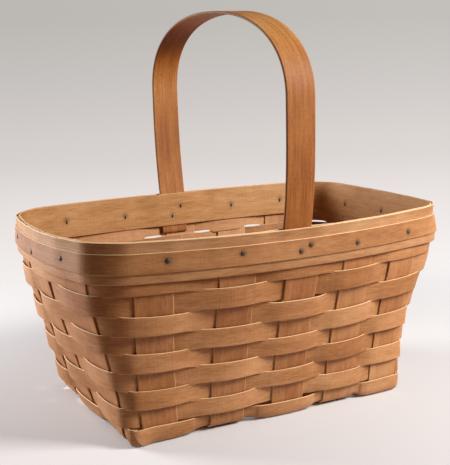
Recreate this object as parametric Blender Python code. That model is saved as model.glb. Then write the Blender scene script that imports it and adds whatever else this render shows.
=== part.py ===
# Rectangular splint basket with a fixed hoop handle.
# Metres, +Z up, long side along X, near long side at -Y, origin on the ground under the middle.
import math
from functools import lru_cache

import bmesh
import bpy
import numpy as np
from mathutils import Matrix, Vector

# Overall sizes. The rim is measured over the wide outer band, the base between the walls' middles.
rim_length = 0.381
rim_width = 0.257
rim_height = 0.178
base_length = 0.276
base_width = 0.178

# How far each rim corner is drawn in from the middle of its side, and the corners' radii.
near_bow = 0.033
far_bow = 0.013
left_bow = 0.0165
right_bow = 0.0065
near_left_radius = 0.032
near_right_radius = 0.022
far_right_radius = 0.034
far_left_radius = 0.038
base_corner_radius = 0.009

# How far each wall stands out of a straight line at half height; a minus sign is a hollow.
left_bulge = 0.0044
right_bulge = -0.0074
near_bulge = -0.002
far_bulge = 0.0

# How far each wall's shoulder stands out below the rim, where the stiff bands hold it more upright.
left_shoulder = 0.0027
right_shoulder = 0.0108
near_shoulder = 0.004
far_shoulder = 0.004
shoulder_share = 0.75
shoulder_power = 8

# Splints that cross the base and bend up the walls as uprights.
# Their places are shares of half the base's or the rim's length or width.
splint_width = 0.033
splint_thickness = 0.0012
splint_end_drop = 0.001
bend_reach = 0.0075
cross_base_shares = (-0.837, -0.376, 0.065, 0.471, 0.837)
cross_rim_shares = (-0.686, -0.289, 0.048, 0.380, 0.701)
long_base_shares = (-0.674, 0.124, 0.719)

# Horizontal splints woven round the walls.
# The rows share out the wall from the first one's lower edge to the last one's, behind the bands.
weaver_rows = 8
weaver_thickness = 0.0009
row_gap = 0.0005
first_row_height = 0.0169
band_lap = 0.0052
flat_margin = 0.002

# Rim bands.
band_thickness = 0.0014
outer_band_height = 0.034
inner_band_height = 0.033
narrow_band_height = 0.0166
narrow_band_drop = 0.0091
band_bump_ramp = 0.018

# Handle band. It bows from the rim to the shoulder, and over the top as a rounded arch.
# Its rises are measured from the rim, and its feet end above the weaver that passes inside them.
handle_width = 0.0282
handle_thickness = 0.0024
handle_offset = 0.002
handle_lean = 0.0017
handle_span = 0.263
handle_rise = 0.183
handle_shoulder_rise = 0.1077
handle_foot_gap = 0.0044
handle_arch_power = 2.27
handle_leg_slope = 0.2

# Tacks. The rise of each one is a share of half the narrow band's height, and its place beside
# the upright's middle is a share of half the upright's width.
tack_head_radius = 0.0020
tack_head_height = 0.0008
tack_shank_radius = 0.0006
tack_tip_length = 0.003
tack_bend_radius = 0.0009
tack_pair_spacing = 0.010
near_pair_offset = 0.006
far_pair_offset = 0.0025
tack_rise_shares = (0.05, 0.15, 0.22, -0.27, -0.27, -0.15, 0.1, -0.1, -0.2, 0.1, 0.0, 0.55, -0.1, 0.15,
                    0.05, -0.5)
near_second_rise_share = 0.25
far_second_rise_share = -0.55
tack_beside_shares = (-0.6, 0.8, 0.14, 0.0, -0.42, -0.08, 0.0, -0.78, -0.24, 0.0, 0.0, 0.0, 0.0, -0.48,
                      0.0, 0.0)

# Gaps between pieces: loose where splints cross, close where faces lie on each other.
weave_gap = 0.0005
seat_gap = 0.0003
hole_gap = 0.0003
joint_gap = 0.0008

# Spacing and counts of the points that the shapes are worked out on.
outline_step = 0.008
normal_reach = 0.006
corner_points = 17
corner_steps = 7
weaver_steps = 3
band_steps = 1
base_steps = 3
bend_steps = 5
edge_strip_steps = 3
handle_leg_steps = 6
split_rows = 3
handle_arch_steps = 26
tack_sides = 6

# Sizes worked out from the ones above, measured outwards from the uprights' middle surface.
weave_offset = splint_thickness / 2 + weave_gap + weaver_thickness / 2
base_offset = (splint_thickness + weave_gap) / 2
base_middle = splint_thickness + weave_gap / 2
lap_offset = weaver_thickness + seat_gap
outer_band_offset = weave_offset + weaver_thickness / 2 + weave_gap + band_thickness / 2
narrow_band_offset = outer_band_offset + band_thickness + weave_gap
handle_inset = splint_thickness / 2 + weave_gap + handle_thickness / 2
inner_band_inset = outer_band_offset
inner_band_inset_at_handle = handle_inset + handle_thickness / 2 + seat_gap + band_thickness / 2
rim_face_offset = outer_band_offset + band_thickness / 2
tack_seat_offset = narrow_band_offset + band_thickness / 2 + seat_gap
upright_rim_length = rim_length - 2 * rim_face_offset
upright_rim_width = rim_width - 2 * rim_face_offset
rows_top = rim_height - outer_band_height + band_lap
row_pitch = (rows_top + row_gap - first_row_height) / weaver_rows
weaver_height = row_pitch - row_gap
handle_foot = rows_top - row_pitch + handle_foot_gap
handle_shoulder = rim_height + handle_shoulder_rise
handle_top = rim_height + handle_rise
flat_reach = splint_width / 2 + flat_margin
narrow_band_top = rim_height - narrow_band_drop
tack_height = narrow_band_top - narrow_band_height / 2

# Stations are where the uprights cross a level line, numbered from the left end's near upright.
# A turn is a place along the line counted in stations; a splint lies flat for a share each side.
# A band's joint is at a share of the whole way round.
near_stations = (1, 2, 3, 4, 5)
right_stations = (6, 7, 8)
far_stations = (13, 12, 11, 10, 9)
left_stations = (0, 15, 14)
corner_stations = (left_stations[0], near_stations[-1], right_stations[-1], far_stations[0])
station_count = 2 * len(near_stations) + 2 * len(left_stations)
middle_place = 2
first_lap_station = 8
flat_share = 0.25
edge_strip_start_share = 0.42
near_strip_reach_shares = (0.30, 0.10)
far_strip_reach_shares = (0.10, 0.10)
end_strip_reach_shares = (0.03, 0.03)
outer_joint_share = 0.656
narrow_joint_share = 0.781
inner_joint_share = 0.22

maple_light = (0.53, 0.29, 0.13)
maple_mid = (0.44, 0.22, 0.09)
maple_orange = (0.46, 0.20, 0.07)
steel_dark = (0.07, 0.05, 0.04)


def blend(low, high, share):
    return low + (high - low) * share


def clear_scene():
    for item in list(bpy.data.objects):
        bpy.data.objects.remove(item, do_unlink=True)


def finish_material(name, colour, roughness, metallic=0.0):
    material = bpy.data.materials.new(name)
    material.use_nodes = True
    shader = material.node_tree.nodes["Principled BSDF"]
    shader.inputs["Base Color"].default_value = (*colour, 1)
    shader.inputs["Roughness"].default_value = roughness
    shader.inputs["Metallic"].default_value = metallic
    material.diffuse_color = (*colour, 1)
    return material


def rounded_outline(half_x, half_y, radii):
    # Starts at the middle of the left end and runs round by the near-left corner.
    corners = ((-1, -1, 180), (1, -1, 270), (1, 1, 0), (-1, 1, 90))
    left_middle = np.array([[-half_x, 0.0]])
    stops = [left_middle]
    for (side_x, side_y, start), radius in zip(corners, radii):
        angles = np.radians(start + np.linspace(0, 90, corner_points))
        x = side_x * (half_x - radius) + radius * np.cos(angles)
        y = side_y * (half_y - radius) + radius * np.sin(angles)
        stops.append(np.stack([x, y], 1))
    stops.append(left_middle)
    outline = [left_middle]
    for before, after in zip(stops, stops[1:]):
        run = np.linalg.norm(after[0] - before[-1])
        steps = max(1, round(run / outline_step))
        shares = np.arange(1, steps)[:, None] / steps
        outline.append(blend(before[-1], after[0], shares))
        outline.append(after)
    return np.concatenate(outline)


def station_x(place, share):
    # The middle of a crosswise splint along X, at a share of the wall's height.
    base_x = cross_base_shares[place] * base_length / 2
    rim_x = cross_rim_shares[place] * upright_rim_length / 2
    return blend(base_x, rim_x, share)


def shoulder_shape(share):
    # 1 at the shoulder, easing to 0 at the base and at the rim.
    rise, fall = shoulder_power * shoulder_share, shoulder_power * (1 - shoulder_share)
    highest = shoulder_share ** rise * (1 - shoulder_share) ** fall
    share = min(share, 1)
    return share ** rise * (1 - share) ** fall / highest


class LevelLine:
    # The closed line where the uprights' middle surface meets one level, with the uprights' places.
    def __init__(self, height):
        share = height / rim_height
        half_x = blend(base_length, upright_rim_length, share) / 2
        half_y = blend(base_width, upright_rim_width, share) / 2
        rim_radii = (near_left_radius, near_right_radius, far_right_radius, far_left_radius)
        radii = [blend(base_corner_radius, radius, share) for radius in rim_radii]
        outline = rounded_outline(half_x, half_y, radii)
        x, y = outline[:, 0], outline[:, 1]
        x_bow = np.where(x < 0, left_bow, right_bow) * share * (y / half_y) ** 2
        y_bow = np.where(y < 0, near_bow, far_bow) * share * (x / half_x) ** 2
        belly = 4 * share * (1 - share)
        shoulder = shoulder_shape(share)
        x_bulge = np.where(x < 0, left_bulge, right_bulge) * belly
        x_bulge += np.where(x < 0, left_shoulder, right_shoulder) * shoulder
        y_bulge = np.where(y < 0, near_bulge, far_bulge) * belly
        y_bulge += np.where(y < 0, near_shoulder, far_shoulder) * shoulder
        self.height = height
        self.x = x * (1 - (x_bow - x_bulge) / half_x)
        self.y = y * (1 - (y_bow - y_bulge) / half_y)
        steps = np.hypot(np.diff(self.x), np.diff(self.y))
        self.arc = np.concatenate([[0.0], np.cumsum(steps)])
        self.total = self.arc[-1]
        self.stations = self.find_stations(share)
        self.set_flats()

    def arc_where(self, rows, line, value):
        order = np.argsort(line[rows])
        return float(np.interp(value, line[rows][order], self.arc[rows][order]))

    def find_stations(self, share):
        found = {}
        for place, station in enumerate(near_stations):
            x = station_x(place, share)
            found[station] = self.arc_where(self.y < 0, self.x, x)
            found[far_stations[place]] = self.arc_where(self.y > 0, self.x, x)
        early = self.arc < self.total / 2
        for place, long_share in enumerate(long_base_shares):
            y = long_share * base_width / 2
            left_rows = (self.x < 0) & (early if y < 0 else ~early)
            found[left_stations[place]] = self.arc_where(left_rows, self.y, y)
            found[right_stations[place]] = self.arc_where(self.x > 0, self.y, y)
        return [found[station] for station in range(station_count)]

    def set_flats(self):
        # A splint lies flat across each upright and crosses over between two of them.
        ends = [[arc - flat_reach, arc + flat_reach] for arc in self.stations]
        self.flat_ends = self.spot(np.array(ends))
        along = self.flat_ends[:, 1] - self.flat_ends[:, 0]
        along /= np.linalg.norm(along, axis=1, keepdims=True)
        self.flat_outward = np.stack([along[:, 1], -along[:, 0]], 1)
        laps = np.arange(-1, 3)[:, None, None]
        turns = np.arange(station_count)[:, None] + np.array([-flat_share, flat_share])
        self.knot_turns = (laps * station_count + turns).ravel()
        self.knot_arcs = (laps * self.total + np.array(ends)).ravel()

    def arc_at(self, turn):
        return np.interp(turn, self.knot_turns, self.knot_arcs)

    def turn_at(self, arc):
        return np.interp(arc, self.knot_arcs, self.knot_turns)

    def spot(self, arc):
        x = np.interp(arc, self.arc, self.x, period=self.total)
        y = np.interp(arc, self.arc, self.y, period=self.total)
        return np.stack([x, y], -1)

    def outward(self, arc):
        along = self.spot(arc + normal_reach) - self.spot(arc - normal_reach)
        along /= np.linalg.norm(along, axis=-1, keepdims=True)
        return np.stack([along[..., 1], -along[..., 0]], -1)

    def spot_and_outward(self, turns):
        # On a flat the place is along the straight line between its ends.
        station = np.round(turns).astype(int)
        beside = (turns - station) / flat_share
        flat = (np.abs(beside) < 1 + flat_share / 8)[..., None]
        ends = self.flat_ends[station % station_count]
        on_flat = blend(ends[..., 0, :], ends[..., 1, :], (beside[..., None] + 1) / 2)
        arc = self.arc_at(turns)
        spot = np.where(flat, on_flat, self.spot(arc))
        outward = np.where(flat, self.flat_outward[station % station_count], self.outward(arc))
        return spot, outward

    def point(self, turns, offset=0.0):
        turns = np.asarray(turns, float)
        spot, outward = self.spot_and_outward(turns)
        flat = spot + outward * np.asarray(offset)[..., None]
        return np.concatenate([flat, np.full(turns.shape + (1,), self.height)], -1)


@lru_cache(maxsize=None)
def level(height):
    return LevelLine(height)


def wave_at(turn, row):
    # +1 outside an upright and -1 inside it, with a cosine run from one to the other.
    turn = np.asarray(turn, float)
    station = np.floor(turn + flat_share)
    side = np.where((station + row) % 2 == 1, 1.0, -1.0)
    share = (turn - station - flat_share) / (1 - 2 * flat_share)
    return side * np.cos(math.pi * np.clip(share, 0, 1))


def ring_turns(start, end, crossing_steps, extra=()):
    # Both ends of each flat, with points in between: more of them round a corner.
    turns = list(extra)
    for station in range(math.floor(start) - 1, math.ceil(end) + 1):
        at_corner = station % station_count in corner_stations
        steps = corner_steps if at_corner else crossing_steps
        turns += list(np.linspace(station + flat_share, station + 1 - flat_share, steps + 1))
    least = flat_share / 8
    kept = sorted(turn for turn in turns if start + least < turn < end - least)
    return np.array([start] + kept + [end])


def add_piece(name, mesh, material, parent):
    item = bpy.data.objects.new(name, mesh)
    item.data.materials.clear()
    item.data.materials.append(material)
    item.parent = parent
    bpy.context.scene.collection.objects.link(item)
    return item


def strip(name, lines, thickness, material, parent, other_diagonal=False):
    # A thin wooden strip: lines run along it side by side, and Solidify gives the thickness.
    # Where two strips lie close, one takes the other diagonal so that their twists match.
    grid = np.stack(lines)
    across, along = grid.shape[:2]
    index = np.arange(across * along).reshape(across, along)
    corners = (index[:-1, :-1], index[:-1, 1:], index[1:, 1:], index[1:, :-1])
    if other_diagonal:
        corners = corners[1:] + corners[:1]
    faces = np.stack(corners, -1).reshape(-1, 4)
    mesh = bpy.data.meshes.new(name)
    mesh.from_pydata(grid.reshape(-1, 3).tolist(), [], faces.tolist())
    item = add_piece(name, mesh, material, parent)
    solid = item.modifiers.new("thickness", "SOLIDIFY")
    solid.thickness = thickness
    solid.offset = 0
    solid.use_even_offset = True
    return item


def weaver_row(row, material, parent):
    # One splint round the basket, whose two ends lap past each other over two crossings.
    # The top row has no room for a lap under the bands, so its ends meet behind an upright.
    low = first_row_height + (row - 1) * row_pitch
    heights = [low, low + weaver_height]
    if row > weaver_rows - split_rows:
        heights.insert(1, low + row_pitch / 2)
    start = first_lap_station + row % 4
    if row == weaver_rows:
        joint = flat_share * joint_gap / flat_reach
        turns = ring_turns(start, start + station_count - joint, weaver_steps)
        offset = wave_at(turns, row) * weave_offset
    else:
        turns = ring_turns(start, start + station_count + 2, weaver_steps)
        wave = wave_at(turns, row)
        begun = turns <= start + 3
        ending = turns >= start + station_count
        inner_lap = np.where(begun, lap_offset * (1 - wave) / 2, 0)
        outer_lap = np.where(ending, lap_offset * (1 + wave) / 2, 0)
        offset = wave * weave_offset - inner_lap + outer_lap
    lines = [level(height).point(turns, offset) for height in heights]
    return strip(f"weaver_row_{row}", lines, weaver_thickness, material, parent)


def bend_guides(turns, base_height):
    # The inner end, the corner and the upper end of the bend from the base to the wall.
    foot, wall = level(base_middle), level(base_middle + bend_reach)
    inner, corner = foot.point(turns, -bend_reach), foot.point(turns)
    inner[..., 2] = corner[..., 2] = base_height
    return inner, corner, wall.point(turns)


def bend_points(guides, steps):
    # A smooth curve that leaves the base level and meets the wall along its slope.
    inner, corner, upper = guides
    return [(1 - t) ** 2 * inner + 2 * t * (1 - t) * corner + t ** 2 * upper for t in steps]


def base_levels(places, crossings, over):
    # The height along the base: up or down at each crossing, easing over in between.
    knots, levels = [], []
    for crossing, is_over in zip(crossings, over):
        for side in (-flat_reach, flat_reach):
            knots.append(crossing + side)
            levels.append(base_middle + (base_offset if is_over else -base_offset))
    run = np.interp(places, knots, np.arange(len(knots)))
    ease = (1 - np.cos(math.pi * (run % 1))) / 2
    levels = np.array(levels)
    return blend(levels[np.floor(run).astype(int)], levels[np.ceil(run).astype(int)], ease)


def base_places(crossings, limit):
    places = []
    for crossing in crossings:
        places += [crossing - flat_reach, crossing + flat_reach]
    for before, after in zip(crossings, crossings[1:]):
        places += list(np.linspace(before + flat_reach, after - flat_reach, base_steps + 1)[1:-1])
    return sorted(place for place in places if abs(place) < limit - flat_margin)


def wall_heights():
    # Where an upright gets a line across: at the rows' edges, halfway up the top rows and at the rim.
    heights = []
    for row in range(weaver_rows + 1):
        low = first_row_height + row * row_pitch
        heights.append(low)
        if weaver_rows - split_rows <= row < weaver_rows:
            heights.append(low + row_pitch / 2)
    return heights + [tack_height, narrow_band_top, rim_height - splint_end_drop]


def wall_half(station, base_height):
    # Both edges of an upright, from the base up round the bend to the rim.
    edges = []
    for side in (-1, 1):
        turn = station + side * flat_share * splint_width / (2 * flat_reach)
        bend = bend_points(bend_guides(turn, base_height), np.linspace(0, 1, bend_steps + 1))
        upright = [level(height).point(turn) for height in wall_heights()]
        edges.append(np.stack(bend + upright))
    return edges


def base_splint(name, stations, crossings, over, axis, material, parent):
    # Down one wall, across the base along the axis and up the opposite wall.
    limit = (base_length, base_width)[axis] / 2 - bend_reach
    places = base_places(crossings, limit)
    levels = base_levels(places, crossings, over)
    ends = base_levels([-limit, limit], crossings, over)
    first, last = [wall_half(station, height) for station, height in zip(stations, ends)]
    lines = []
    for side in (0, 1):
        middle = np.zeros((len(places), 3))
        middle[:, 2] = levels
        middle[:, axis] = places
        middle[:, 1 - axis] = first[side][0][1 - axis]
        lines.append(np.concatenate([first[side][::-1], middle, last[1 - side]]))
    return strip(name, lines, splint_thickness, material, parent, other_diagonal=True)


def edge_strip(name, first, last, reach_shares, material, parent):
    # A short row rolled up at the bend: outside one upright, inside the next.
    top = level(first_row_height - row_gap)
    start, end = first - flat_share - reach_shares[0], last + flat_share + reach_shares[1]
    turns = ring_turns(start, end, weaver_steps)
    wave = wave_at(turns, 0)
    offset = (wave * weave_offset)[:, None]
    steps = np.linspace(edge_strip_start_share, 1, edge_strip_steps + 1)
    guides = bend_guides(turns, base_middle - wave * base_offset)
    inner, corner, upper = guides
    outward = level(base_middle).spot_and_outward(turns)[1]
    lines = []
    for t, points in zip(steps, bend_points(guides, steps)):
        slope = blend(corner - inner, upper - corner, t)
        rise, run = slope[:, 2:], (slope[:, :2] * outward).sum(1, keepdims=True)
        normal = np.concatenate([outward * rise, -run], 1) / np.hypot(rise, run)
        lines.append(points + normal * offset)
    lines.append(top.point(turns, offset[:, 0]))
    return strip(name, lines, weaver_thickness, material, parent)


def bump_share(points):
    # 1 where the inner band passes over a handle leg, easing to 0 on both sides.
    beside = np.abs(points[:, 0] - handle_offset) - handle_width / 2 - flat_margin
    return np.clip(1 - beside / band_bump_ramp, 0, 1)


def bump_turns():
    # Turns at the ends of the bump, and where its two ramps run out.
    line = level(rim_height)
    reach = handle_width / 2 + flat_margin
    turns = []
    for rows in (line.y < 0, line.y > 0):
        for beside in (-reach - band_bump_ramp, -reach, reach, reach + band_bump_ramp):
            arc = line.arc_where(rows, line.x, handle_offset + beside)
            turns += [line.turn_at(arc), line.turn_at(arc) + station_count]
    return turns


def rim_band(name, heights, offset, joint_share, material, parent):
    start = joint_share * station_count
    end = start + station_count - flat_share * joint_gap / flat_reach
    is_inner = offset < 0
    turns = ring_turns(start, end, band_steps, bump_turns() if is_inner else ())
    lines = []
    for line in map(level, heights):
        share = bump_share(line.point(turns)) if is_inner else np.zeros(len(turns))
        offsets = blend(offset, -inner_band_inset_at_handle, share)
        lines.append(line.point(turns, offsets))
    return strip(name, lines, band_thickness, material, parent, other_diagonal=offset == outer_band_offset)


def rim_bands(wide_wood, narrow_wood, parent):
    # The outer band has the narrow band's edges as lines too, so that the two lie close, and the
    # inner one has the lines of the handle's legs.
    narrow_heights = (narrow_band_top - narrow_band_height, narrow_band_top)
    outer_heights = (rim_height - outer_band_height, *narrow_heights, rim_height)
    inner_heights = (rim_height - inner_band_height, tack_height, narrow_band_top, rim_height)
    return [
        rim_band("outer_rim_band", outer_heights, outer_band_offset, outer_joint_share, wide_wood, parent),
        rim_band("narrow_rim_band", narrow_heights, narrow_band_offset, narrow_joint_share, narrow_wood,
                 parent),
        rim_band("inner_rim_band", inner_heights, -inner_band_inset, inner_joint_share, wide_wood, parent),
    ]


def handle_leg(side, x):
    # Up inside the upright from the foot to the rim, then bowing out to the shoulder.
    leg = []
    for height in (handle_foot, rim_height - inner_band_height, tack_height, narrow_band_top, rim_height):
        line = level(height)
        turn = line.turn_at(line.arc_where(line.y * side > 0, line.x, x))
        leg.append((line.point(turn, -handle_inset)[1], line.height))
    rim_y = leg[-1][0]
    shoulder_y = side * (handle_span - handle_thickness) / 2 + handle_lean
    rise = handle_shoulder - rim_height
    lean = side * handle_leg_slope * rise
    for share in np.linspace(0, 1, handle_leg_steps + 1)[1:]:
        start = 2 * share ** 3 - 3 * share ** 2 + 1
        bow = (share ** 3 - 2 * share ** 2 + share) * lean
        leg.append((blend(shoulder_y, rim_y, start) + bow, rim_height + share * rise))
    return leg


def handle_band(material, parent):
    # A flat band bent over a form: the arch is a rounded outline squarer than an ellipse.
    half_span = (handle_span - handle_thickness) / 2
    arch_rise = handle_top - handle_thickness / 2 - handle_shoulder
    arch = []
    for angle in np.linspace(0, math.pi, handle_arch_steps + 1)[1:-1]:
        across, up = -math.cos(angle), math.sin(angle)
        y = half_span * math.copysign(abs(across) ** (2 / handle_arch_power), across)
        arch.append((y + handle_lean, handle_shoulder + arch_rise * up ** (2 / handle_arch_power)))
    lines = []
    for x in (handle_offset - handle_width / 2, handle_offset + handle_width / 2):
        path = handle_leg(-1, x) + arch + handle_leg(1, x)[::-1]
        lines.append(np.array([(x, y, z) for y, z in path]))
    return strip("handle_band", lines, handle_thickness, material, parent)


def tack_places():
    # A name, a frame on the narrow band's face and whether a handle leg is behind, for each tack.
    places = []
    walls = (("near", near_stations), ("right", right_stations), ("far", far_stations),
             ("left", left_stations))
    pairs = {"near": (near_pair_offset, near_second_rise_share),
             "far": (far_pair_offset, far_second_rise_share)}
    for wall, stations in walls:
        for place, station in enumerate(stations):
            rise = tack_rise_shares[station]
            if wall in pairs and place == middle_place:
                pair_offset, second_rise = pairs[wall]
                beside = handle_offset + pair_offset - station_x(place, 1)
                middle = beside if wall == "near" else -beside
                for letter, side, share in (("a", -1, rise), ("b", 1, second_rise)):
                    frame = tack_frame(station, middle + side * tack_pair_spacing / 2, share)
                    places.append((f"handle_tack_{wall}_{letter}", frame, True))
            else:
                beside = tack_beside_shares[station] * splint_width / 2
                places.append((f"rim_tack_{wall}_{place + 1}", tack_frame(station, beside, rise), False))
    return places


def tack_frame(station, beside, rise_share):
    height = tack_height + rise_share * narrow_band_height / 2
    line, above = level(height), level(height + normal_reach)
    turn = station + flat_share * beside / flat_reach
    seat = Vector(line.point(turn, tack_seat_offset))
    up = (Vector(above.point(turn, tack_seat_offset)) - seat).normalized()
    outward = Vector((*line.flat_outward[station], 0))
    outward = (outward - up * outward.dot(up)).normalized()
    along = up.cross(outward)
    frame = Matrix((along, up, outward)).transposed().to_4x4()
    frame.translation = seat
    return frame


def tack_mesh(name, depth):
    # Rings down the tack's axis: domed head, shank, then the tip bent down against the inner band.
    r = tack_shank_radius
    half_bend = tack_bend_radius * (1 - math.cos(math.pi / 4))
    rings = (
        (0, tack_head_height, 0, tack_head_radius / 2),
        (0, tack_head_height / 2, 0, tack_head_radius),
        (0, 0, 0, tack_head_radius),
        (0, 0, 0, r),
        (0, tack_bend_radius - depth, 0, r),
        (-half_bend, half_bend - depth, math.pi / 4, r),
        (-tack_bend_radius, -depth, math.pi / 2, r),
        (-tack_tip_length, -depth, math.pi / 2, r / 2),
    )
    angles = np.linspace(0, 2 * math.pi, tack_sides, endpoint=False)
    points = []
    for y, z, tilt, radius in rings:
        for angle in angles:
            across, up = radius * math.cos(angle), radius * math.sin(angle)
            points.append((across, y + up * math.cos(tilt), z - up * math.sin(tilt)))
    mesh = bpy.data.meshes.new(name)
    shape = bmesh.new()
    verts = [shape.verts.new(point) for point in points]
    loops = [verts[start:start + tack_sides] for start in range(0, len(verts), tack_sides)]
    for upper, lower in zip(loops, loops[1:]):
        for side in range(tack_sides):
            after = (side + 1) % tack_sides
            shape.faces.new((upper[side], lower[side], lower[after], upper[after]))
    shape.faces.new(loops[0])
    shape.faces.new(loops[-1][::-1])
    bmesh.ops.recalc_face_normals(shape, faces=shape.faces)
    shape.to_mesh(mesh)
    shape.free()
    mesh.shade_smooth()
    mesh.set_sharp_from_angle(angle=math.radians(40))
    return mesh


def tack_depth(at_handle):
    inset = inner_band_inset_at_handle if at_handle else inner_band_inset
    return tack_seat_offset + inset + band_thickness / 2 + seat_gap + tack_shank_radius


def add_tacks(places, material, parent):
    meshes = {at_handle: tack_mesh(name, tack_depth(at_handle))
              for name, at_handle in (("short_tack", False), ("long_tack", True))}
    for name, frame, at_handle in places:
        item = add_piece(name, meshes[at_handle], material, parent)
        item.location = frame.translation
        item.rotation_euler = frame.to_euler()


def tack_hole_cutter(places, parent):
    # One rod for each tack, through the whole stack of bands and past both of its faces.
    mesh = bpy.data.meshes.new("tack_hole_cutter")
    shape = bmesh.new()
    radius = tack_shank_radius + hole_gap
    for name, frame, at_handle in places:
        depth = tack_depth(at_handle)
        rod = frame @ Matrix.Translation((0, 0, -depth / 2))
        bmesh.ops.create_cone(shape, cap_ends=True, segments=tack_sides, radius1=radius, radius2=radius,
                              depth=2 * depth, matrix=rod)
    shape.to_mesh(mesh)
    shape.free()
    cutter = add_piece("tack_hole_cutter", mesh, None, parent)
    cutter.hide_render = True
    cutter.display_type = "WIRE"
    return cutter


def cut_tack_holes(pieces, cutter):
    for piece in pieces:
        hole = piece.modifiers.new("tack_holes", "BOOLEAN")
        hole.operation = "DIFFERENCE"
        hole.solver = "EXACT"
        hole.object = cutter


def main():
    clear_scene()
    # The handle's middle stands over the origin, because the handle is the widest thing along Y.
    parent = bpy.data.objects.new("basket", None)
    parent.location.y = -handle_lean
    bpy.context.scene.collection.objects.link(parent)
    upright_wood = finish_material("maple_upright", maple_mid, 0.55)
    weaver_wood = finish_material("maple_weaver", maple_light, 0.5)
    band_wood = finish_material("maple_band", maple_light, 0.45)
    trim_wood = finish_material("maple_trim_band", maple_mid, 0.45)
    handle_wood = finish_material("maple_handle", maple_orange, 0.4)
    steel = finish_material("dark_steel", steel_dark, 0.4, 1.0)

    cross_x = [share * base_length / 2 for share in cross_base_shares]
    long_y = [share * base_width / 2 for share in long_base_shares]
    nailed = []
    for place, (near, far) in enumerate(zip(near_stations, far_stations)):
        over = [(place + crossing) % 2 == 1 for crossing in range(len(long_y))]
        nailed.append(base_splint(f"cross_splint_{place + 1}", (near, far), long_y, over, 1,
                                  upright_wood, parent))
    for place, (left, right) in enumerate(zip(left_stations, right_stations)):
        over = [(place + crossing) % 2 == 0 for crossing in range(len(cross_x))]
        nailed.append(base_splint(f"long_splint_{place + 1}", (left, right), cross_x, over, 0,
                                  upright_wood, parent))

    edge_strip("near_edge_strip", 1, 5, near_strip_reach_shares, weaver_wood, parent)
    edge_strip("right_edge_strip", 6, 8, end_strip_reach_shares, weaver_wood, parent)
    edge_strip("far_edge_strip", 9, 13, far_strip_reach_shares, weaver_wood, parent)
    edge_strip("left_edge_strip", 14, 16, end_strip_reach_shares, weaver_wood, parent)
    for row in range(1, weaver_rows + 1):
        weaver_row(row, weaver_wood, parent)

    nailed += rim_bands(band_wood, trim_wood, parent)
    nailed.append(handle_band(handle_wood, parent))
    places = tack_places()
    add_tacks(places, steel, parent)
    cut_tack_holes(nailed, tack_hole_cutter(places, parent))


main()
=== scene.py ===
import math

import bpy
import numpy as np
from mathutils import Matrix, Vector


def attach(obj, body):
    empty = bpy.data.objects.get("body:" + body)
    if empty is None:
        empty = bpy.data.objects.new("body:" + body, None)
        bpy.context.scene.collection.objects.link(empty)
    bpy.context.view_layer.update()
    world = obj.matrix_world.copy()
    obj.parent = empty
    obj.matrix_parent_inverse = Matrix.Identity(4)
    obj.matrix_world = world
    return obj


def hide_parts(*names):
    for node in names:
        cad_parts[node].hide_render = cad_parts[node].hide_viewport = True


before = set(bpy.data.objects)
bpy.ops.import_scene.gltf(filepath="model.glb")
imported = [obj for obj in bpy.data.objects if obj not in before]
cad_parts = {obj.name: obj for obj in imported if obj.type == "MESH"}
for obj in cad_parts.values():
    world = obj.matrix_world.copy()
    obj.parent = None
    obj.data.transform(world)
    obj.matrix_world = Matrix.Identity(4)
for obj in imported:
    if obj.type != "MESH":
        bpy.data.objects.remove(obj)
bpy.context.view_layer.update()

scene = bpy.context.scene

cameraSettings = {
    "place": (-0.4580, -0.8478, 0.3365),
    "yaw": 28.34,        # degrees to the right of straight along +y
    "pitch": 10.68,      # degrees down
    "roll": -1.19,
    "focalPixels": 1029.5,
    "frame": (450, 465),
}


def cameraAxes(s):
    # Forward from yaw and pitch, right level with the floor, then both turned by the roll.
    yaw, pitch, roll = (math.radians(s[k]) for k in ("yaw", "pitch", "roll"))
    forward = Vector((math.sin(yaw) * math.cos(pitch), math.cos(yaw) * math.cos(pitch), -math.sin(pitch)))
    right = Vector((math.cos(yaw), -math.sin(yaw), 0))
    up = right.cross(forward)
    return (right * math.cos(roll) + up * math.sin(roll),
            up * math.cos(roll) - right * math.sin(roll), forward)


def makeCamera(s):
    data = bpy.data.cameras.new("photoCamera")
    data.sensor_width = 36
    data.lens = s["focalPixels"] / max(s["frame"]) * 36
    right, up, forward = cameraAxes(s)
    camera = bpy.data.objects.new("photoCamera", data)
    camera.matrix_world = Matrix((right, up, -forward)).transposed().to_4x4()
    camera.location = s["place"]
    scene.collection.objects.link(camera)
    scene.camera = camera
    return camera


makeCamera(cameraSettings)
print("camera placed")


def linear(hexColour):
    # sRGB hex to linear: divide by 12.92 in the dark toe, else the 2.4 power curve.
    parts = [int(hexColour[i:i + 2], 16) / 255 for i in (1, 3, 5)]
    return tuple(c / 12.92 if c <= 0.04045 else ((c + 0.055) / 1.055) ** 2.4 for c in parts) + (1.0,)


def addNode(tree, kind, links=None, stops=None, **settings):
    # One node with its settings; links gives each input a value or another node's output.
    node = tree.nodes.new(kind)
    for key, value in settings.items():
        setattr(node, key, value)
    for key, value in (links or {}).items():
        if isinstance(value, bpy.types.NodeSocket):
            tree.links.new(value, node.inputs[key])
        else:
            node.inputs[key].default_value = value
    if stops:
        ramp = node.color_ramp
        while len(ramp.elements) < len(stops):
            ramp.elements.new(0.5)
        for element, (place, colour) in zip(ramp.elements, stops):
            element.position = place
            element.color = colour
    return node


def maths(tree, operation, *values):
    # One step of arithmetic on numbers and other nodes' outputs.
    return addNode(tree, "ShaderNodeMath", dict(enumerate(values)), operation=operation).outputs[0]


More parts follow.
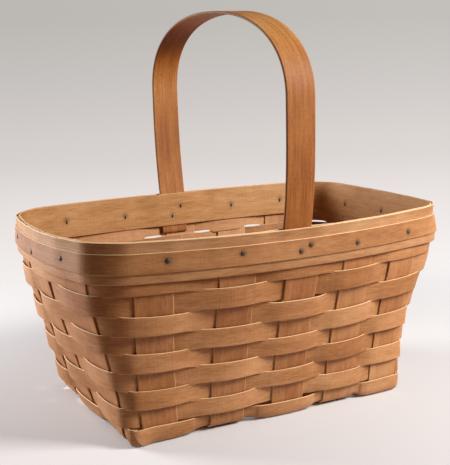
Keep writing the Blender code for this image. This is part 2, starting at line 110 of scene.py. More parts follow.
def mapped(tree, value, low, high, toLow=0.0, toHigh=1.0, curve="LINEAR"):
    # A value between low and high goes to the same share of the way from toLow to toHigh.
    return addNode(tree, "ShaderNodeMapRange", {
        "Value": value, "From Min": low, "From Max": high, "To Min": toLow, "To Max": toHigh},
        interpolation_type=curve).outputs[0]


def newMaterial(name):
    # A material with its node tree and its shader.
    material = bpy.data.materials.new(name)
    material.use_nodes = True
    return material, material.node_tree, material.node_tree.nodes["Principled BSDF"]


def smoothMesh(name, points, faces):
    mesh = bpy.data.meshes.new(name)
    mesh.from_pydata(points, [], faces)
    mesh.polygons.foreach_set("use_smooth", np.ones(len(mesh.polygons), bool))
    return mesh


def addMap(mesh, name, places):
    # A flat map, from one pair of coordinates for each point.
    corners = np.empty(len(mesh.loops), np.int32)
    mesh.loops.foreach_get("vertex_index", corners)
    mesh.uv_layers.new(name=name).data.foreach_set("uv", places[corners].astype(np.float32).ravel())


def blend(low, high, share):
    return low + (high - low) * share


def ease(share):
    # 0 to 1 with level ends.
    share = np.clip(share, 0, 1)
    return share * share * (3 - 2 * share)


def ripple(turn, seed, waves=9, lap=16):
    # A smooth wandering line, near -1 to 1: a sum of sines that closes after one lap.
    rng = np.random.default_rng(seed)
    counts = np.arange(1, waves + 1)
    heights = rng.normal(size=waves) / np.sqrt(waves)
    starts = rng.uniform(0, 2 * math.pi, waves)
    angles = 2 * math.pi * np.asarray(turn, float)[..., None] * counts / lap + starts
    return (heights * np.sin(angles)).sum(-1)


wall = {
    "rimHalf": (0.1866, 0.1246),          # half length and width of the uprights' middle at the rim
    "baseHalf": (0.138, 0.089),
    "height": 0.178,
    "radii": (0.032, 0.022, 0.034, 0.038),  # rim corners: near left, near right, far right, far left
    "baseRadius": 0.009,
    "bowX": (0.0165, 0.0065),             # how far the rim's corners are drawn in: left, right
    "bowY": (0.033, 0.013),               # near, far
    "bulgeX": (0.0044, -0.0074),          # how far the walls swell out at half height
    "bulgeY": (-0.002, 0.0),
    "footOut": 0.006,                     # the near left corner's foot stands out to the left,
    "footShare": 0.24,                    # up to this share of the height
    "shoulderX": (0.0027, 0.0108),        # how far the wall stands out below the stiff rim
    "shoulderY": (0.004, 0.004),
    # The uprights' middles as shares of the half length, at the base and at the rim, and those of
    # the end walls as shares of the base's half width.
    "crossBase": (-0.837, -0.376, 0.065, 0.471, 0.837),
    "crossRim": (-0.686, -0.289, 0.048, 0.380, 0.701),
    "longBase": (-0.674, 0.124, 0.719),
    "flatReach": 0.0185,                  # an upright lies flat this far to each side
    "shiftY": -0.0017,                    # sets the basket's box over the origin
    "perTurn": 96,                        # the grid's lines to a turn
    "levelStep": 0.003,
    "levels": 62,
    "smoothing": 50,                      # how many times the turns are averaged with their neighbours
    "normalReach": 3,                     # points to each side that give the outward direction
    "cornerPoints": 33,
    "outlinePoints": 2401,
    "searchPoints": 801,
    "humpPowers": (6, 2),
}
# Stations are the uprights' places round the wall, from the left end's near one: each wall's are in
# the order in which its splints are numbered.
nearStations, rightStations = (1, 2, 3, 4, 5), (6, 7, 8)
farStations, leftStations = (13, 12, 11, 10, 9), (0, 15, 14)
stationCount = 16
flatShare = 0.25        # an upright lies flat for this much of a turn on each side of its middle
lastCell = 1.001        # one cell and a hair, so that a place at a grid's end has a line beyond it


def wallOutline(w, share):
    # A rounded rectangle whose sides are bowed by the square of the distance from their middles.
    halfX, halfY = (blend(b, r, share) for b, r in zip(w["baseHalf"], w["rimHalf"]))
    points = [np.array([[-halfX, 0.0]])]
    for (sx, sy, start), radius in zip(((-1, -1, 180), (1, -1, 270), (1, 1, 0), (-1, 1, 90)), w["radii"]):
        r = blend(w["baseRadius"], radius, share)
        a = np.radians(start + np.linspace(0, 90, w["cornerPoints"]))
        points.append(np.stack([sx * (halfX - r) + r * np.cos(a), sy * (halfY - r) + r * np.sin(a)], 1))
    loop = np.concatenate(points + [points[0]])
    arc = np.concatenate([[0], np.cumsum(np.linalg.norm(np.diff(loop, axis=0), axis=1))])
    even = np.linspace(0, arc[-1], w["outlinePoints"])
    x, y = np.interp(even, arc, loop[:, 0]), np.interp(even, arc, loop[:, 1])
    # The walls also swell by a parabola over their height, and by a hump: one power of the share
    # times another of what is left, over its value at its peak.
    belly = 4 * share * (1 - share)
    rise, fall = w["humpPowers"]
    peak = rise / (rise + fall)
    hump = share ** rise * max(1 - share, 0) ** fall / (peak ** rise * (1 - peak) ** fall)
    pullX = np.where(x < 0, *w["bowX"]) * share * (y / halfY) ** 2
    pullX -= np.where(x < 0, *w["bulgeX"]) * belly + np.where(x < 0, *w["shoulderX"]) * hump
    footEase = ease(1 - share / w["footShare"])
    pullX -= np.where(x < 0, w["footOut"], 0) * np.clip(-y / halfY, 0, 1) * footEase
    pullY = np.where(y < 0, *w["bowY"]) * share * (x / halfX) ** 2
    pullY -= np.where(y < 0, *w["bulgeY"]) * belly + np.where(y < 0, *w["shoulderY"]) * hump
    return x * (1 - pullX / halfX), y * (1 - pullY / halfY)


def crossX(w, place, share):
    return blend(w["crossBase"][place] * w["baseHalf"][0], w["crossRim"][place] * w["rimHalf"][0], share)


def arcWhere(rows, line, arc, value):
    order = np.argsort(line[rows])
    return float(np.interp(value, line[rows][order], arc[rows][order]))


def wallLevel(w, share):
    # One level of the wall by turns: a turn counts the uprights passed, and the wall is straight
    # where an upright lies flat.
    x, y = wallOutline(w, share)
    arc = np.concatenate([[0], np.cumsum(np.hypot(np.diff(x), np.diff(y)))])
    total = arc[-1]
    found = {}
    for place in range(len(w["crossBase"])):
        at = crossX(w, place, share)
        found[nearStations[place]] = arcWhere(y < 0, x, arc, at)
        found[farStations[place]] = arcWhere(y > 0, x, arc, at)
    early = arc < total / 2
    for place, part in enumerate(w["longBase"]):
        at = part * w["baseHalf"][1]
        leftRows = (x < 0) & (early if at < 0 else ~early)
        found[leftStations[place]] = arcWhere(leftRows, y, arc, at)
        found[rightStations[place]] = arcWhere(x > 0, y, arc, at)
    stations = np.array([found[k] for k in range(stationCount)])
    laps = np.arange(-1, 3)[:, None, None]
    places = np.arange(stationCount)[:, None]
    knotTurns = (laps * stationCount + places + [-flatShare, flatShare]).ravel()
    knotArcs = (laps * total + stations[:, None] + [-w["flatReach"], w["flatReach"]]).ravel()
    turns = np.arange(stationCount * w["perTurn"]) / w["perTurn"]
    arcs = np.interp(turns, knotTurns, knotArcs)
    spot = np.stack([np.interp(arcs, arc, x, period=total), np.interp(arcs, arc, y, period=total)], -1)
    near = np.round(turns).astype(int)
    side = (turns - near) / flatShare
    ends = [stations[near % stationCount] + k * w["flatReach"] for k in (-1, 1)]
    ends = [np.stack([np.interp(e, arc, x, period=total), np.interp(e, arc, y, period=total)], -1)
            for e in ends]
    chord = blend(ends[0], ends[1], (side[:, None] + 1) / 2)
    return np.where((np.abs(side) <= 1)[:, None], chord, spot)


def wallGrid(w):
    # All levels stacked, eased along the turns, with the level outward direction at each point.
    spots = np.stack([wallLevel(w, k * w["levelStep"] / w["height"]) for k in range(w["levels"])])
    for _ in range(w["smoothing"]):
        spots = (np.roll(spots, 1, 1) + 2 * spots + np.roll(spots, -1, 1)) / 4
    spots[..., 1] += w["shiftY"]
    along = np.roll(spots, -w["normalReach"], 1) - np.roll(spots, w["normalReach"], 1)
    along /= np.linalg.norm(along, axis=-1, keepdims=True)
    outward = np.stack([along[..., 1], -along[..., 0]], -1)
    return spots, outward


wallSpots, wallOutward = wallGrid(wall)


def wallLookup(grid, turn, z):
    # Between the grid's points by shares of the four round about.
    u = np.asarray(turn, float) * wall["perTurn"]
    v = np.clip(np.asarray(z, float) / wall["levelStep"], 0, wall["levels"] - lastCell)
    u, v = np.broadcast_arrays(u, v)
    i, k = np.floor(u).astype(int), np.floor(v).astype(int)
    a, b = (u - i)[..., None], (v - k)[..., None]
    n = grid.shape[1]
    low = blend(grid[k, i % n], grid[k, (i + 1) % n], a)
    high = blend(grid[k + 1, i % n], grid[k + 1, (i + 1) % n], a)
    return blend(low, high, b)


def onWall(turn, z, offset=0.0):
    # The wall's place at a turn and height, moved straight outwards by the offset.
    out = wallLookup(wallOutward, turn, z)
    out = out / np.linalg.norm(out, axis=-1, keepdims=True)
    flat = wallLookup(wallSpots, turn, z) + out * np.asarray(offset, float)[..., None]
    z = np.broadcast_to(np.asarray(z, float), flat.shape[:-1])
    return np.concatenate([flat, z[..., None]], -1)


def turnWhere(z, x, far):
    # The turn at which the near or far side of a level passes an x.
    first, last = (farStations[-1], farStations[0]) if far else (nearStations[0], nearStations[-1])
    turns = np.linspace(first, last, wall["searchPoints"])
    xs = wallLookup(wallSpots, turns, z)[:, 0]
    order = np.argsort(xs)
    return float(np.interp(x, xs[order], turns[order]))


def fromStationZero(turn):
    # A turn counted from station 0, forwards or backwards by half a lap at most.
    return (turn + stationCount / 2) % stationCount - stationCount / 2


print("wall worked out:", wallSpots.shape)


def acrossShares(width, inner, edge=0.00035, nextLine=0.0006):
    # From one edge of a strip to the other, with close lines at both edges for their rounding.
    e, f = edge / width, (edge + nextLine) / width
    return np.concatenate([[0, e], np.linspace(f, 1 - f, inner), [1 - e, 1]])


def withEnds(places, edge=0.0003):
    # The same close lines at a strip's two ends, for places along it given in any unit.
    first, last = places[0], places[-1]
    step = abs(places[1] - places[0])
    e = min(edge, step / 3)
    return np.concatenate([[first, first + e], places[1:-1], [last - e, last]])


def closeEnds(sheet, share):
    # A further line close to each end of a sheet, at this share of the way to the next line.
    return np.concatenate([sheet[:1], blend(sheet[:1], sheet[1:2], share), sheet[1:-1],
                           blend(sheet[-1:], sheet[-2:-1], share), sheet[-1:]])


grainShift = (1.37, 0.211)      # metres that the grain is moved along and across from piece to piece


def splintMesh(name, centre, thickness, tone, stain=None, edgeShare=0.75, grainSeed=0, edgeColourSides=(1, 1)):
    # A thin closed strip round its middle sheet. Front and back stand off the sheet by half the
    # thickness along its own normal, less at the edges. The normal is the cross product of the
    # sheet's steps along and across.
    along, across = centre.shape[:2]
    du, dv = np.gradient(centre, axis=0), np.gradient(centre, axis=1)
    normal = np.cross(du, dv)
    normal /= np.linalg.norm(normal, axis=-1, keepdims=True)
    share = np.ones((along, across))
    share[:, [0, -1]] = edgeShare
    share[[0, -1]] = np.minimum(share[[0, -1]], edgeShare)
    half = (np.asarray(thickness) / 2 * share)[..., None] * normal
    loop = np.concatenate([centre + half, (centre - half)[:, ::-1]], 1)
    rings = loop.shape[1]
    index = np.arange(along * rings).reshape(along, rings)
    ahead = np.roll(index, -1, 1)
    sides = np.stack([index[:-1], index[1:], ahead[1:], ahead[:-1]], -1).reshape(-1, 4)
    front, back = np.arange(across), rings - 1 - np.arange(across)
    cap = np.stack([front[:-1], front[1:], back[1:], back[:-1]], -1)
    faces = np.concatenate([sides, index[0][cap], index[-1][cap[:, ::-1]]])
    # Grain coordinates: arc length along the middle line, and width across.
    middle = centre[:, across // 2]
    u = np.concatenate([[0], np.cumsum(np.linalg.norm(np.diff(middle, axis=0), axis=1))])
    v = np.concatenate([[0], np.cumsum(np.linalg.norm(np.diff(centre[along // 2], axis=0), axis=1))])
    grainU = np.broadcast_to(u[:, None] + grainSeed * grainShift[0], (along, across))
    grainV = np.broadcast_to(v[None] + grainSeed * grainShift[1], (along, across))
    cut = np.zeros((along, across))
    cut[:, [0, -1]] = edgeColourSides
    cut[[0, -1]] = max(edgeColourSides)
    tone = np.broadcast_to(tone, (along, across))
    stain = np.zeros((along, across)) if stain is None else stain
    both = [np.concatenate([a, a[:, ::-1]], 1).ravel() for a in (grainU, grainV, cut, tone, stain)]
    mesh = smoothMesh(name, loop.reshape(-1, 3), faces)
    addMap(mesh, "grain", np.stack(both[:2], -1))
    for key, values in zip(("cutEdge", "tone", "stain"), both[2:]):
        mesh.attributes.new(key, "FLOAT", "POINT").data.foreach_set("value", values.astype(np.float32))
    return addPiece(name, mesh)


def addPiece(name, mesh):
    piece = bpy.data.objects.new(name, mesh)
    scene.collection.objects.link(piece)
    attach(piece, "root")
    return piece


def splintWood(name, s):
    # Maple splint: long fine fibres, slow bands of tone, a few short dark pores, faint marks of the
    # cutting knife across it, and paler raw wood on its cut edges. It looks dry and softly satin.
    material, tree, shader = newMaterial(name)
    uv = addNode(tree, "ShaderNodeUVMap", uv_map="grain").outputs[0]

    def pattern(sizeMm, detail):
        # Noise stretched so that its spots are this long and wide.
        scale = (1000 / sizeMm[0], 1000 / sizeMm[1], 1)
        moved = addNode(tree, "ShaderNodeMapping", {"Vector": uv, "Scale": scale}).outputs[0]
        return addNode(tree, "ShaderNodeTexNoise", {
            "Vector": moved, "Scale": 1.0, "Detail": detail, "Roughness": s["patternRough"]},
            noise_dimensions="2D").outputs[0]

    fibre = pattern(s["fibreMm"], 4)
    streak = pattern(s["streakMm"], 2)
    cloud = pattern(s["cloudMm"], 2)
    pore = pattern(s["poreMm"], 1)
    knife = pattern(s["knifeMm"], 2)
    tone, cut, stain = (addNode(tree, "ShaderNodeAttribute", attribute_name=key).outputs["Fac"]
                        for key in ("tone", "cutEdge", "stain"))

    # The shade is the sum of each pattern's swing about its middle, times its strength.
    shade = tone
    for value, key in ((fibre, "fibre"), (streak, "streak"), (cloud, "cloud"), (knife, "knife")):
        shade = maths(tree, "MULTIPLY_ADD", maths(tree, "SUBTRACT", value, 0.5), s[key], shade)
    wood = addNode(tree, "ShaderNodeValToRGB", {"Fac": shade},
                   stops=[(place, linear(colour)) for place, colour in s["colours"]]).outputs[0]
    poreFac = mapped(tree, pore, s["poreEdge"], s["poreEdge"] + s["poreSoft"], 0.0, s["pore"])
    cutFac = maths(tree, "MULTIPLY", cut, s["cut"])
    for factor, key in ((poreFac, "poreColour"), (cutFac, "cutColour"), (stain, "stainColour")):
        wood = addNode(tree, "ShaderNodeMix", {"Factor": factor, 6: wood, 7: linear(s[key])},
                       data_type="RGBA").outputs[2]
    tree.links.new(wood, shader.inputs["Base Color"])
    smoother, rougher = s["roughSpread"]
    rough = mapped(tree, fibre, 0.0, 1.0, s["rough"] - smoother, s["rough"] + rougher)
    tree.links.new(rough, shader.inputs["Roughness"])

    # The fibres and the knife's marks are raised and the pores are sunk.
    ridge = maths(tree, "MULTIPLY_ADD", knife, s["knifeRidge"], fibre)
    ridge = maths(tree, "MULTIPLY_ADD", poreFac, -s["poreDip"], ridge)
    bump = addNode(tree, "ShaderNodeBump", {"Height": ridge, "Strength": s["bump"],
                                            "Distance": s["ridgeDepth"]}).outputs[0]
    tree.links.new(bump, shader.inputs["Normal"])
    shader.inputs["IOR"].default_value = s["ior"]
    shader.inputs["Specular IOR Level"].default_value = s["specular"]
    return material


# Maple's fibres are about 0.1 mm wide, which is far too fine to show. They are drawn as bundles of
# 1.2 mm, and the pores 0.45 mm wide.
woodSettings = {
    # Sizes in millimetres, along and across the splint.
    "fibreMm": (10, 1.2), "streakMm": (120, 3.2), "cloudMm": (45, 9), "poreMm": (3.5, 0.45),
    "knifeMm": (1.8, 25),
    "fibre": 0.5, "streak": 0.18, "cloud": 0.42, "knife": 0.16,
    "pore": 0.3, "poreEdge": 0.66, "poreSoft": 0.07,
    "colours": [(0.0, "#7F4720"), (0.35, "#9F6839"), (0.6, "#B78052"), (1.0, "#CC9D71")],
    "poreColour": "#6B3D1A", "cutColour": "#EBC596", "cut": 0.85,
    "stainColour": "#3A2214",       # wood darkened by the iron of a tack
    "patternRough": 0.55, "rough": 0.56, "roughSpread": (0.08, 0.12), "specular": 0.4, "ior": 1.5,
    "bump": 0.6, "knifeRidge": 0.6, "poreDip": 0.8, "ridgeDepth": 0.00025,
}
weaverWood = splintWood("mapleSplintKnifeCut", woodSettings)
# The uprights are redder, with stronger streaks.
uprightWood = splintWood("mapleSplintUpright", {
    **woodSettings, "fibre": 0.46, "streak": 0.24,
    "colours": [(0.0, "#7E451E"), (0.35, "#9F6437"), (0.6, "#B37B4D"), (1.0, "#C6976B")]})
# The rim bands are planed smoother. The inner band is a copy with warmer colours, painted for the warm shade
# inside the basket, and little sheen.
bandWood = splintWood("mapleRimBand", {
    **woodSettings, "fibreMm": (13, 1.3), "knife": 0.06, "cut": 0.9, "specular": 0.5,
    "colours": [(0.0, "#834F27"), (0.35, "#A46E40"), (0.6, "#B9885C"), (1.0, "#CDA47D")]})
insideWood = splintWood("mapleRimBandInside", {
    **woodSettings, "fibreMm": (13, 1.3), "knife": 0.06, "cut": 0.9, "specular": 0.15,
    "colours": [(0.0, "#7E4C25"), (0.35, "#9F6A38"), (0.6, "#B48252"), (1.0, "#C9A075")]})
trimWood = splintWood("mapleTrimBand", {
    **woodSettings, "knife": 0.06, "cut": 0.9,
    "colours": [(0.0, "#7A451D"), (0.35, "#9A6334"), (0.6, "#AE794A"), (1.0, "#C39367")]})
# The handle was steamed and bent: more orange, with long streaks and open pores. Its edge colour is dark: on
# the ends, and on the left side edge as painted shade where that side faces away from the key lamp.
handleWood = splintWood("steamBentHandleWood", {
    **woodSettings, "fibreMm": (28, 0.9), "streakMm": (160, 3.2), "poreMm": (4.0, 0.38), "pore": 0.6,
    "poreEdge": 0.6, "fibre": 0.42, "streak": 0.4, "cloud": 0.4, "knife": 0.04,
    "cutColour": "#4A2A14", "cut": 0.75, "rough": 0.6, "specular": 0.27, "bump": 0.1,
    "colours": [(0.0, "#5C2E0E"), (0.35, "#8D4F1F"), (0.6, "#A76930"), (1.0, "#C59358")]})
print("woods mixed")


weavers = {
    "rows": 8,
    "bottom": 0.0169,
    "pitch": 0.0166,
    "thickness": 0.0011,
    "swing": 0.0023,        # how far the middle of a weaver goes outside and inside the uprights
    "topSwing": 0.0016,     # the top row is held between the rim bands
    "arch": 0.0014,         # further out over the middle of an upright
    "sway": 0.0006,         # lower where it is outside and higher where it is inside
    "overlap": 0.0023,      # how far an inner run's edges reach past those of the rows next to it
    "bottomFree": 0.4,      # the share of both that the lowest edge of all follows
    # How far each row's lower and upper edge stand up, or hang down where negative, at the middle of
    # the near wall. Where the edge above stands higher than the edge below, the wall shows dark.
    "hang": ((0.0010, -0.0007), (-0.0007, -0.0030), (-0.0030, -0.0034), (-0.0034, -0.0044),
             (-0.0044, -0.0038), (-0.0038, -0.0036), (0.0, 0.0003), (0.0003, 0.0)),
    "hangMiddle": 3, "hangReach": 3.1,
    "topLift": 0.0012,      # the seam under the top row is higher on the near and left walls
    "seen": (-2.4, 6.2, 0.8),   # those walls' first and last turn, and how far they ease in and out
    "lap": 0.0012,          # how far apart the two ends lie where they lap
    "lapTurns": 2,
    "lapPlaces": 4,         # the laps start at this many places in turn
    "buttGap": 0.011,       # turns between the top row's two ends
    # Lower edge out and upper edge in, because a flat splint can't follow the flare: between two
    # uprights, and what is added outside and taken away inside.
    "stand": (0.00065, 0.0004),
    "topStand": 0.5,
    "drift": 0.0004,
    # Small openings in the far wall: the row above it, turn, how far the edge below drops and the
    # edge above rises there, and how wide in turns.
    "openings": ((8, 8.55, 0.0008, 0.0030, 0.24), (8, 9.55, 0.0008, 0.0032, 0.27),
                 (8, 10.62, 0.0008, 0.0032, 0.25), (8, 11.5, 0.0008, 0.0032, 0.24)),
    "openingPower": 8,
    "uneven": {"swing": 0.08, "arch": 0.2, "sway": 0.25},   # woven by hand, so no two runs are alike
    "seeds": {"edge": 40, "swing": 60, "arch": 70, "sway": 90, "tone": 100, "rowTone": 7},
    "tone": 0.5, "toneDrift": 0.1, "rowTone": 0.07,
    "step": 0.02,           # turns between two lines across
    "endLine": 0.004,
    "lines": 6,
    "firstLap": 8,
}


def rowEdge(w, row, turn):
    # The line between a row and the one below it, wandering a little.
    free = 0.0 if row in (1, w["rows"] + 1) else w["drift"]
    return w["bottom"] + (row - 1) * w["pitch"] + free * ripple(turn, w["seeds"]["edge"] + row, 14)


def hangShare(w, turn):
    # 1 at the middle of the near wall, falling to 0 round its corners as a squared cosine.
    away = (fromStationZero(turn) - w["hangMiddle"]) / w["hangReach"]
    return np.cos(math.pi / 2 * np.clip(away, -1, 1)) ** 2


def seenShare(w, turn):
    # 1 on the near and left walls and 0 on the others, easing over the corners between them.
    place = fromStationZero(turn)
    first, last, run = w["seen"]
    return ease((place - first) / run) * ease((last - place) / run)


def weaverRow(w, row):
    # Outside an upright, then inside the next: a cosine of the turns. The row's first end is pushed
    # further in where it is inside, and its last end further out where it is outside, for the lap.
    start = w["firstLap"] + row % w["lapPlaces"]
    top = row == w["rows"]
    if top:
        turns = np.linspace(start, start + stationCount - w["buttGap"], int(stationCount / w["step"]))
    else:
        turns = np.arange(start, start + stationCount + w["lapTurns"] + 1e-6, w["step"])
    turns = withEnds(turns, w["endLine"])
    wander = {key: 1 + w["uneven"][key] * ripple(turns, w["seeds"][key] + row, 16) for key in w["uneven"]}
    wave = -np.cos(math.pi * (turns + row))
    offset = wave * (w["topSwing"] if top else w["swing"]) * wander["swing"]
    if not top:
        offset = offset + w["arch"] * np.maximum(wave, 0) ** 2 * wander["arch"]
        offset = offset - np.where(turns <= start + w["lapTurns"] + 1, w["lap"] * (1 - wave) / 2, 0)
        offset = offset + np.where(turns >= start + stationCount, w["lap"] * (1 + wave) / 2, 0)

    # On the walls seen from outside, only the inner runs reach past their neighbours' edges.
    shares = acrossShares(w["pitch"], w["lines"])
    sway = w["sway"] * wave * wander["sway"]
    seen, hang = seenShare(w, turns), hangShare(w, turns)
    reachPast = w["overlap"] * ease(0.5 - seen * wave)
    lowFree, highFree = w["bottomFree"] if row == 1 else 1, 0 if top else 1
    lowHang, highHang = w["hang"][row - 1]
    low = rowEdge(w, row, turns) - lowFree * (sway + reachPast) + lowHang * hang
    high = rowEdge(w, row + 1, turns) - highFree * (sway - reachPast) + highHang * hang
    if top:
        low = low + w["topLift"] * seen
    if row == w["rows"] - 1:
        high = high + w["topLift"] * seen
    # An opening's lower edge is a bell curve, and its upper edge a steeper one with a flat top.
    for above, place, drop, rise, reach in w["openings"]:
        away = fromStationZero(turns - place)
        if above == row + 1:
            high = high - drop * np.exp(-(away / reach) ** 2)
        if above == row:
            low = low + rise * np.exp(-(away / reach) ** w["openingPower"])
    z = blend(low[:, None], high[:, None], shares)
    stand = (w["stand"][0] + w["stand"][1] * wave)[:, None] * (1 - 2 * shares)
    centre = onWall(turns[:, None], z, offset[:, None] + stand * (w["topStand"] if top else 1))
    tone = w["tone"] + w["toneDrift"] * ripple(turns, w["seeds"]["tone"] + row, 6)
    tone = tone + w["rowTone"] * ripple(row * 1.7, w["seeds"]["rowTone"])
    piece = splintMesh(f"weaver_{row}", centre, w["thickness"], tone[:, None], grainSeed=row)
    piece.data.materials.append(weaverWood)
    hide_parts(f"weaver_row_{row}")
    return piece


for row in range(1, weavers["rows"] + 1):
    weaverRow(weavers, row)
print("weavers woven")


uprights = {
    "width": 0.033,
    "thickness": 0.0012,
    "drop": 0.0004,         # the ends stand just under the rim
    "baseMiddle": 0.00145,  # the base's middle height, and how far its two layers stand from it
    "baseOffset": 0.00085,
    "bendReach": 0.0075,    # the bend takes this much of the base and of the wall
    "flatReach": wall["flatReach"],
    "step": 0.003,
    "lines": 8, "bendLines": 9, "endLine": 0.1,
    "tone": 0.5, "toneDrift": 0.1, "splintTone": 0.08,
    "toneSeed": 200, "splintSeed": 9, "grainSeed": 30,
}


def baseLine(s, places, crossings, over):
    # Height along the base: up or down at each crossing, with a cosine run from one to the next.
    knots, levels = [], []
    for crossing, isOver in zip(crossings, over):
        knots += [crossing - s["flatReach"], crossing + s["flatReach"]]
        levels += [s["baseMiddle"] + (s["baseOffset"] if isOver else -s["baseOffset"])] * 2
    run = np.interp(places, knots, np.arange(len(knots)))
    part = (1 - np.cos(math.pi * (run % 1))) / 2
    levels = np.array(levels)
    return blend(levels[np.floor(run).astype(int)], levels[np.ceil(run).astype(int)], part)


def bendGuides(s, turns, baseHeight):
    # Inner end, corner and upper end of the bend from the base to the wall.
    inner = onWall(turns, s["baseMiddle"], -s["bendReach"])
    corner = onWall(turns, s["baseMiddle"])
    upper = onWall(turns, s["baseMiddle"] + s["bendReach"])
    inner[..., 2] = corner[..., 2] = baseHeight
    return inner, corner, upper


def bendPoints(guides, t):
    # Quadratic curve through the three guides.
    inner, corner, upper = (g[..., None, :] for g in guides)
    t = t[..., :, None]
    return (1 - t) ** 2 * inner + 2 * t * (1 - t) * corner + t ** 2 * upper


def uprightHalf(s, station, baseHeight, sides):
    # From the base round the bend and up the wall to the rim, for each line across the splint.
    turns = station + flatShare * sides * s["width"] / 2 / s["flatReach"]
    bend = bendPoints(bendGuides(s, turns, baseHeight), np.linspace(0, 1, s["bendLines"])).swapaxes(0, 1)
    top = wall["height"] - s["drop"]
    heights = np.append(np.arange(s["baseMiddle"] + s["bendReach"] + s["step"], top, s["step"]), top)
    return np.concatenate([bend, onWall(turns[None], heights[:, None])])


def baseSplint(s, name, node, stations, crossings, over, axis, seed):
    # Down one wall, across the base along one axis and up the opposite wall.
    limit = wall["baseHalf"][axis] - s["bendReach"]
    sides = acrossShares(s["width"], s["lines"]) * 2 - 1
    places = np.arange(-limit + s["step"], limit - s["step"] / 2, s["step"])
    ends = baseLine(s, np.array([-limit, limit]), crossings, over)
    first = uprightHalf(s, stations[0], ends[0], sides)[::-1]
    last = uprightHalf(s, stations[1], ends[1], -sides)
    share = ((places + limit) / (2 * limit))[:, None, None]
    middle = blend(first[-1][None], last[0][None], share)
    middle[..., 2] = baseLine(s, places, crossings, over)[:, None]
    centre = closeEnds(np.concatenate([first, middle, last]), s["endLine"])
    if axis == 0:
        centre = centre[:, ::-1]
    run = np.linspace(0, stationCount, len(centre))
    tone = s["tone"] + s["toneDrift"] * ripple(run, s["toneSeed"] + seed, 5)
    tone = tone + s["splintTone"] * ripple(seed * 1.3, s["splintSeed"])
    piece = splintMesh(name, centre, s["thickness"], tone[:, None], grainSeed=s["grainSeed"] + seed)
    piece.data.materials.append(uprightWood)
    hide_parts(node)
    return piece


# In the base each splint goes over one and under the next, and its neighbour the other way.
crossXs = [share * wall["baseHalf"][0] for share in wall["crossBase"]]
longYs = [share * wall["baseHalf"][1] + wall["shiftY"] for share in wall["longBase"]]
for place in range(len(crossXs)):
    over = [(place + k) % 2 == 1 for k in range(len(longYs))]
    baseSplint(uprights, f"crossUpright_{place + 1}", f"cross_splint_{place + 1}",
               (nearStations[place], farStations[place]), longYs, over, 1, place)
for place in range(len(longYs)):
    over = [(place + k) % 2 == 0 for k in range(len(crossXs))]
    baseSplint(uprights, f"longUpright_{place + 1}", f"long_splint_{place + 1}",
               (leftStations[place], rightStations[place]), crossXs, over, 0, 10 + place)
print("uprights bent up")


edgeStrips = {
    "top": 0.0164,
    "startShare": 0.52,     # the strip starts this far round the bend from the base
    "swing": 0.0024,
    "wavePower": 0.6,       # under 1 keeps it flat over the uprights
    "thickness": 0.0011,
    # How far each strip goes on past its first and its last upright, in turns.
    "reach": {"near": (0.15, 0.23), "far": (0.23, 0.23), "left": (0.23, 0.43), "right": (0.23, 0.23)},
    "curl": 0.0045, "curlTurns": 0.36,      # the near strip's cut end stands away from the corner
    "roundTurns": 0.36, "roundDepth": 0.95,     # and its lower corner is rounded off
    "push": 0.0025, "pushTurns": 0.3,       # the left strip stands out round the corner, under that end
    "hang": -0.0016,        # the near strip's top edge at the middle of its wall
    "floorGap": 0.00002,    # nothing goes below this
    "step": 0.02,
    "endLine": 0.004, "edgeLine": 0.2, "bendLines": 6, "wallLines": 5,
    "tone": 0.5, "toneDrift": 0.1, "toneSeed": 300, "grainSeed": 50,
}


def edgeStrip(s, side, first, last, seed):
    # A low row rolled round the bend: it follows the bend's curve, then the wall to its top edge.
    start, end = first - flatShare - s["reach"][side][0], last + flatShare + s["reach"][side][1]
    turns = withEnds(np.linspace(start, end, int((end - start) / s["step"])), s["endLine"])
    wave = -np.cos(math.pi * turns)
    wave = np.sign(wave) * np.abs(wave) ** s["wavePower"]
    offset = wave * s["swing"]
    if side == "near":
        offset = offset + s["curl"] * ease((start + s["curlTurns"] - turns) / s["curlTurns"])
    if side == "left":
        offset = offset + s["push"] * ease((turns - last - flatShare) / s["pushTurns"])
    t = blend(s["startShare"], 1, np.linspace(0, 1, s["bendLines"]))
    guides = bendGuides(uprights, turns, uprights["baseMiddle"] - wave * uprights["baseOffset"])
    sheet = bendPoints(guides, np.broadcast_to(t, (len(turns), s["bendLines"])))
    upper = uprights["baseMiddle"] + uprights["bendReach"]
    top = s["top"] + (s["hang"] * hangShare(weavers, turns) if side == "near" else 0 * turns)
    heights = blend(upper, top[:, None], np.linspace(0, 1, s["wallLines"])[None, 1:])
    sheet = np.concatenate([sheet, onWall(turns[:, None], heights)], 1)
    sheet = closeEnds(sheet.swapaxes(0, 1), s["edgeLine"]).swapaxes(0, 1)
    normal = np.cross(np.gradient(sheet, axis=0), np.gradient(sheet, axis=1))
    normal /= np.linalg.norm(normal, axis=-1, keepdims=True)
    centre = sheet + normal * offset[:, None, None]
    if side == "near":
        # The cut end's lower corner is a quarter of an ellipse: each line across keeps its upper part.
        away = np.clip((turns - start) / s["roundTurns"], 0, 1)
        cutOff = s["roundDepth"] * (1 - np.sqrt(1 - (1 - away) ** 2))
        across = sheet.shape[1]
        place = blend(cutOff[:, None], 1, np.linspace(0, 1, across)) * (across - lastCell)
        lower, line = np.floor(place).astype(int), np.arange(len(turns))[:, None]
        centre = blend(centre[line, lower], centre[line, lower + 1], (place - lower)[..., None])
    centre[..., 2] = np.maximum(centre[..., 2], s["thickness"] / 2 + s["floorGap"])
    tone = s["tone"] + s["toneDrift"] * ripple(turns, s["toneSeed"] + seed, 6)
    piece = splintMesh(f"edgeStrip_{side}", centre, s["thickness"], tone[:, None],
                       grainSeed=s["grainSeed"] + seed)
    piece.data.materials.append(weaverWood)
    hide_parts(f"{side}_edge_strip")
    return piece


